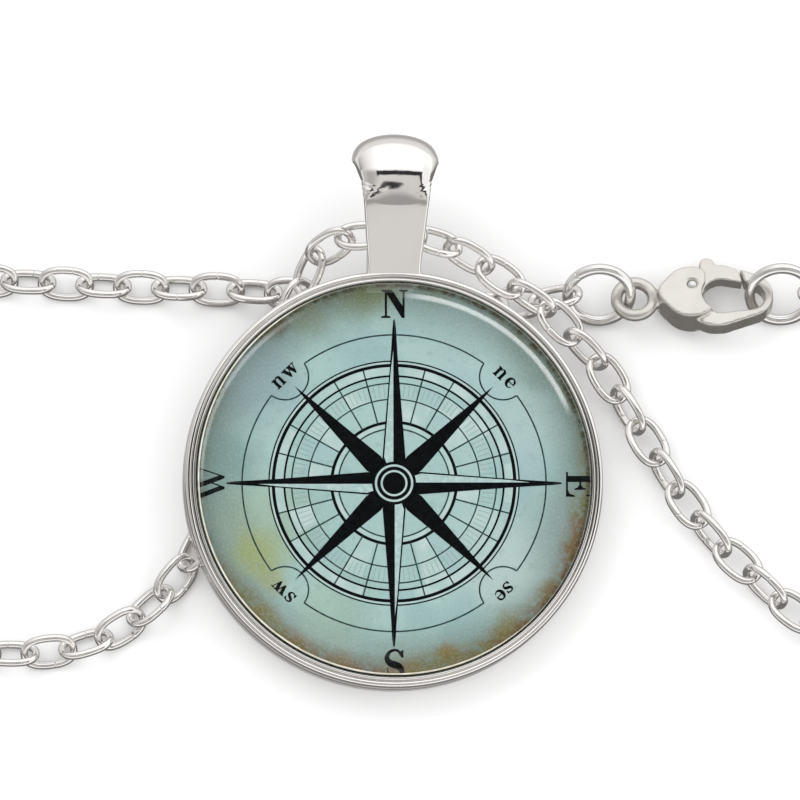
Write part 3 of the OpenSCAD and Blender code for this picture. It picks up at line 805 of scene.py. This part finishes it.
# ---------------------------------------------------------------- wire links and rings
def loose_parts(o):
    """Vertex groups of a CAD node's separate solids, as arrays of its vertex positions in metres."""
    me = o.data
    v = coords(me)
    key = np.round(v * 1e7).astype(np.int64)
    _, same = np.unique(key, axis=0, return_inverse=True)
    same = same.ravel()
    me.calc_loop_triangles()
    t = np.zeros(len(me.loop_triangles) * 3, np.int32)
    me.loop_triangles.foreach_get("vertices", t)
    tri = same[t.reshape(-1, 3)]
    lab = np.arange(same.max() + 1)
    while True:
        low = lab[tri].min(1)
        new = lab.copy()
        for c in range(3):
            np.minimum.at(new, tri[:, c], low)
        new = new[new]
        if (new == lab).all():
            break
        lab = new
    name = lab[same]
    order = np.argsort(name, kind="stable")
    cuts = np.flatnonzero(np.diff(name[order])) + 1
    return [v[g] for g in np.split(order, cuts)]


def frames_of(o):
    """Middle, long axis and wide axis of each link of a chain node."""
    frames = []
    for p in loose_parts(o):
        q = np.unique(np.round(p * 1e7) / 1e7, axis=0)
        c = q.mean(0)
        ax = np.linalg.eigh(np.cov((q - c).T))[1]
        # the middle of the spread along each of its own axes
        loc = (q - c) @ ax
        c = c + ax @ ((loc.max(0) + loc.min(0)) / 2)
        frames.append((c, ax[:, 2], ax[:, 1]))
    return frames


def wire_loop(a, b, p, wire, n, m, seam):
    """Closed wire along a rounded oval with half lengths a and b and power p; the seam is a fine butt joint."""
    t = np.linspace(0, 2 * math.pi, n, endpoint=False)
    t = np.sort(np.concatenate([t, seam + np.array([-0.05, -0.03, -0.015, 0.0, 0.015, 0.03, 0.05])]))
    x = a * np.sign(np.cos(t)) * np.abs(np.cos(t)) ** (2 / p)
    y = b * np.sign(np.sin(t)) * np.abs(np.sin(t)) ** (2 / p)
    c = np.stack([x, y, 0 * x], 1)
    d = np.roll(c, -1, 0) - np.roll(c, 1, 0)
    d /= np.linalg.norm(d, axis=1)[:, None]
    side = np.stack([d[:, 1], -d[:, 0], 0 * x], 1)
    r = wire * (1 - 0.16 * np.exp(-(((t - seam) / 0.012) ** 2)))
    turn = np.linspace(0, 2 * math.pi, m, endpoint=False)[None, :, None]
    v = c[:, None] + r[:, None, None] * (np.cos(turn) * side[:, None] + np.sin(turn) * np.array([0, 0, 1.0]))
    return v.reshape(-1, 3), grid(len(t), m)


def wire_piece(name, verts, faces, mat, node):
    me = bpy.data.meshes.new(name)
    me.from_pydata(verts.tolist(), [], faces.tolist())
    me.update()
    me.shade_smooth()
    new_piece(name, me, mat, "necklace", node)


LINK = {"a": 1.6, "b": 0.975, "p": 2.45, "wire": 0.25, "n": 48, "m": 14}
JUMP_RING = {"a": 2.05, "b": 2.05, "p": 2.0, "wire": 0.35, "n": 96, "m": 24}


def chain(name, node):
    rng = np.random.default_rng(7)
    vs, fs, base = [], [], 0
    for c, ax, wide in frames_of(nodes[node]):
        seam = math.pi / 2 + rng.uniform(-0.22, 0.22) + (math.pi if rng.uniform() < 0.5 else 0)
        v, f = wire_loop(seam=seam, **LINK)
        ax, wide = unit(ax), unit(wide)
        up = np.cross(ax, wide)
        vs.append(c + (v * MM) @ np.stack([ax, wide, up]))
        fs.append(f + base)
        base += len(v)
    wire_piece(name, np.concatenate(vs), np.concatenate(fs), CHAIN, node)


chain("links_left", "chain_left")
chain("links_right", "chain_right")


def jump_ring(name, node, seam):
    p = coords(nodes[node].data)
    c = (p.max(0) + p.min(0)) / 2
    ax = np.linalg.eigh(np.cov((p - c).T))[1]
    up = ax[:, 0] * np.sign(ax[2, 0])
    x = unit(np.cross([0, 1.0, 0], up))
    v, f = wire_loop(seam=seam, **JUMP_RING)
    wire_piece(name, c + (v * MM) @ np.stack([x, np.cross(up, x), up]), f, RING, node)


jump_ring("ring_at_eye", "end_ring", 2.3)
jump_ring("ring_at_hook", "catch_ring", 0.9)


# ---------------------------------------------------------------- clasp: the CAD's cast shape with worn edges
def cast(name, node, body, voxel, rounds):
    """A node's shape remade from voxels of that many mm and smoothed, then fitted to the node's own box."""
    src = nodes[node]
    me = src.data.copy()
    bm = bmesh.new()
    bm.from_mesh(me)
    bmesh.ops.remove_doubles(bm, verts=bm.verts, dist=1e-7)
    bmesh.ops.scale(bm, vec=(1000, 1000, 1000), verts=bm.verts)
    bm.to_mesh(me)
    bm.free()
    me.materials.clear()
    tmp = placed("tmp_" + name, me)
    remesh = tmp.modifiers.new("remesh", "REMESH")
    remesh.mode = "VOXEL"
    remesh.voxel_size = voxel
    smooth = tmp.modifiers.new("smooth", "SMOOTH")
    smooth.factor = 0.5
    smooth.iterations = rounds
    bpy.context.view_layer.update()
    out_me = bpy.data.meshes.new_from_object(tmp.evaluated_get(bpy.context.evaluated_depsgraph_get()))
    bpy.data.objects.remove(tmp)
    out_me.name = name
    v, c = coords(out_me), coords(src.data) / MM
    lo, hi, lo2, hi2 = c.min(0), c.max(0), v.min(0), v.max(0)
    v = ((v - (lo2 + hi2) / 2) * np.minimum((hi - lo) / (hi2 - lo2) * 0.997, 1.06) + (lo + hi) / 2) * MM
    out_me.vertices.foreach_set("co", v.astype(np.float32).ravel())
    out_me.update()
    out_me.shade_smooth()
    out_me.materials.clear()
    new_piece(name, out_me, CLASP, body, node)


cast("clasp_casting", "clasp_body", "necklace", 0.07, 44)
cast("lever_casting", "clasp_lever", "lever", 0.05, 30)

p = coords(nodes["clasp_pin"].data)
top = [(0.3, 0), (0.3, 0.96), (0.24, 1.04), (0.14, 1.085), (0, 1.1)]
verts, faces = lathe([(r, -z) for r, z in top[:0:-1]] + top, 32)
axis = np.array([0, 0.258819, 0.965926])  # of the lever's joint
x = np.array([1.0, 0, 0])
verts = (p.max(0) + p.min(0)) / 2 + (verts * MM) @ np.stack([x, np.cross(axis, x), axis])
me = new_mesh("clasp_rivet", verts, faces, 40)
new_piece("clasp_rivet", me, PIN, "necklace", "clasp_pin")

# ---------------------------------------------------------------- floor
FLOOR = paint("floor_paper", (0.93, 0.93, 0.93), (0.95, 0.95, 0.95), 60.0, 0.9, (0.3, 0.7), 2.0)
HALF, LOW_Z = 3.0, -2e-5  # metres; just under the part
verts = [(x * HALF, y * HALF, LOW_Z) for x, y in ((-1, -1), (1, -1), (1, 1), (-1, 1))]
me = new_mesh("floor", verts, [(0, 1, 2, 3)], flat=True)
floor = placed("floor", me)
me.materials.append(FLOOR)
floor.visible_glossy = False

# ---------------------------------------------------------------- world: what metal and glass reflect, by direction
world = bpy.data.worlds.new("studio")
bpy.context.scene.world = world
world.use_nodes = True
nt = world.node_tree
nt.nodes.clear()
out = nt.nodes.new("ShaderNodeOutputWorld")
d = add(nt, "ShaderNodeTexCoord").outputs["Generated"]
to_right, to_top, to_eye, to_sky = (measure(nt, "DOT_PRODUCT", d, v) for v in (RIGHT, UP, CAM, (0, 0, 1)))
DEG = 180 / math.pi
theta = maths(nt, "MULTIPLY", maths(nt, "ARCTAN2", to_top, to_eye), DEG)  # up and over, 0 at the eye
phi = maths(nt, "MULTIPLY", maths(nt, "ARCSINE", to_right), DEG)  # to the right
gamma = maths(nt, "MULTIPLY", maths(nt, "ARCCOSINE", to_eye), DEG)  # away from the eye
elev = maths(nt, "MULTIPLY", maths(nt, "ARCSINE", to_sky), DEG)  # above the table


def both(a, b):
    return maths(nt, "MULTIPLY", a, b)


def band(v, a0, a1, b1, b0):
    """1 from a1 to b1, fading to 0 at a0 and b0."""
    return both(mapped(nt, v, a0, a1), mapped(nt, v, b1, b0, 1.0, 0.0))


# a bright window in front, darker walls round it and a few dark things between them
wave = maths(nt, "MULTIPLY", maths(nt, "SUBTRACT", noise(nt, d, 13.0, 3.0), 0.5), 6.0)
th2, ph2 = maths(nt, "ADD", theta, wave), maths(nt, "SUBTRACT", phi, wave)
sky = mix(nt, mapped(nt, gamma, 40, 54), (0.69, 0.67, 0.65), (1.12, 1.11, 1.10))
sky = mix(nt, both(band(theta, 15, 24, 80, 118), band(phi, -44, -20, 62, 84)), sky, (1.15, 1.14, 1.13))
sky = mix(nt, both(band(theta, -33, -30, -20, -10), band(phi, -40, -20, 22, 30)), sky, (0.36, 0.345, 0.335))
# the left wall fades from grey to white towards the window
wall = mix(nt, mapped(nt, phi, -78, -16, 0.0, 1.0, False), (0.36, 0.352, 0.345), (1.06, 1.05, 1.04))
sky = mix(nt, both(band(theta, 4, 32, 100, 130), mapped(nt, phi, -12, -18, 0.0, 1.0)), sky, wall)
left = both(band(theta, -48, -36, 8, 30), band(phi, -88, -70, -24, 0))
sky = mix(nt, both(left, 0.8), sky, (0.38, 0.37, 0.36))
sky = mix(nt, both(band(theta, -40, -24, 24, 70), band(phi, 40, 43, 70, 85)), sky, (1.0, 0.99, 0.98))
sky = mix(nt, both(band(th2, 5.5, 7, 17, 19), band(phi, -14, -11, 41, 43)), sky, (0.03, 0.03, 0.032))
sky = mix(nt, both(band(theta, -33, -30, 16, 18), band(phi, 34, 36, 40.5, 42)), sky, (0.05, 0.05, 0.054))
# a dark lens between four borders, of which the upper one slants, with a bright dot in it
right_of = maths(nt, "SUBTRACT", ph2, mapped(nt, theta, -8.5, -5, 4.9, 0.0, False))
left_of = maths(nt, "SUBTRACT", mapped(nt, theta, -13, -6, 7.6, 12.6, False), ph2)
slant = maths(nt, "ADD", theta, both(phi, 0.2))
lens = both(mapped(nt, right_of, -0.4, 0.4), mapped(nt, left_of, -0.5, 0.5))
lens = both(lens, both(mapped(nt, theta, -11.8, -10.6), mapped(nt, slant, -3.4, -2.2, 1.0, 0.0)))
sky = mix(nt, lens, sky, (0.03, 0.03, 0.035))
sky = mix(nt, both(band(theta, -10.9, -10.5, -10.0, -9.6), band(phi, 4.2, 4.5, 4.9, 5.2)), sky, (1.6, 1.6, 1.6))
# what lies under the table's height
under = mix(nt, mapped(nt, gamma, 142, 160), (0.19, 0.184, 0.178), (0.42, 0.405, 0.395))
back = both(both(mapped(nt, theta, 60, 100), mapped(nt, elev, -40, -12)), mapped(nt, theta, 150, 172, 1.0, 0.0))
under = mix(nt, both(mapped(nt, theta, 80, 120), 0.6), under, (0.55, 0.535, 0.525))
under = mix(nt, back, under, (0.80, 0.785, 0.775))
seen = mix(nt, mapped(nt, elev, -4, 6), under, sky)
# the glass mirrors only two long lamps, as cones of direction
azim = maths(nt, "MULTIPLY", maths(nt, "ARCTAN2", to_top, to_right), DEG)
off = maths(nt, "SUBTRACT", azim, 50.0)
cone = maths(nt, "ADD", gamma, both(both(off, off), 0.0026))
lamp_1 = both(band(cone, 83.3, 84.8, 85.8, 86.6), band(azim, 24, 31, 75, 85))
cone = maths(nt, "ADD", gamma, both(maths(nt, "SUBTRACT", azim, 140.7), 0.235))
lamp_2 = both(band(cone, 70.4, 71.5, 72.2, 73.2), band(azim, 106, 128, 164, 176))
glow = maths(nt, "ADD", maths(nt, "ADD", both(lamp_1, 8.5), both(lamp_2, 4.6)), 0.05)
lamps = add(nt, "ShaderNodeCombineColor", [(0, glow), (1, glow), (2, glow)]).outputs[0]
lp = add(nt, "ShaderNodeLightPath")
seen = mix(nt, lp.outputs["Is Singular Ray"], seen, lamps)
even = mix(nt, mapped(nt, to_sky, -0.2, 0.9), (1.05, 1.05, 1.05), (1.18, 1.18, 1.18))
col = mix(nt, lp.outputs["Is Diffuse Ray"], seen, even)
col = mix(nt, lp.outputs["Is Camera Ray"], col, (1.0, 1.0, 1.0))
bg = add(nt, "ShaderNodeBackground")
nt.links.new(col, bg.inputs[0])
bg.inputs[1].default_value = 1.0
nt.links.new(bg.outputs[0], out.inputs[0])
world.cycles.sampling_method = "NONE"


# ---------------------------------------------------------------- lights
def area(name, direction, far, size, energy):
    """A square light that shines on the part from a direction."""
    light = bpy.data.lights.new(name, "AREA")
    light.size, light.energy = size, energy
    o = placed(name, light)
    way = Vector(unit(direction))
    o.location = way * far
    o.rotation_mode = "QUATERNION"
    o.rotation_quaternion = way.to_track_quat("Z", "Y")
    o.visible_glossy = False
    o.visible_transmission = False


area("key", (-0.5, 0.55, 1.0), 0.9, 0.5, 1.2)
area("fill", (0.8, -0.3, 0.9), 0.9, 0.6, 0.5)

# ---------------------------------------------------------------- camera at the photo's viewing angle
cam_data = bpy.data.cameras.new("photo_camera")
cam_data.sensor_width = 36
cam_data.lens = cam_data.sensor_width * DIST / (PHOTO * PX * MM)
cam_data.clip_start, cam_data.clip_end = 0.01, 20
cam = placed("photo_camera", cam_data)
basis = Matrix((tuple(RIGHT), tuple(UP), tuple(CAM))).transposed()
cam.matrix_world = Matrix.Translation(Vector(EYE)) @ basis.to_4x4()
bpy.context.scene.camera = cam
bpy.context.scene.view_settings.view_transform = "Standard"
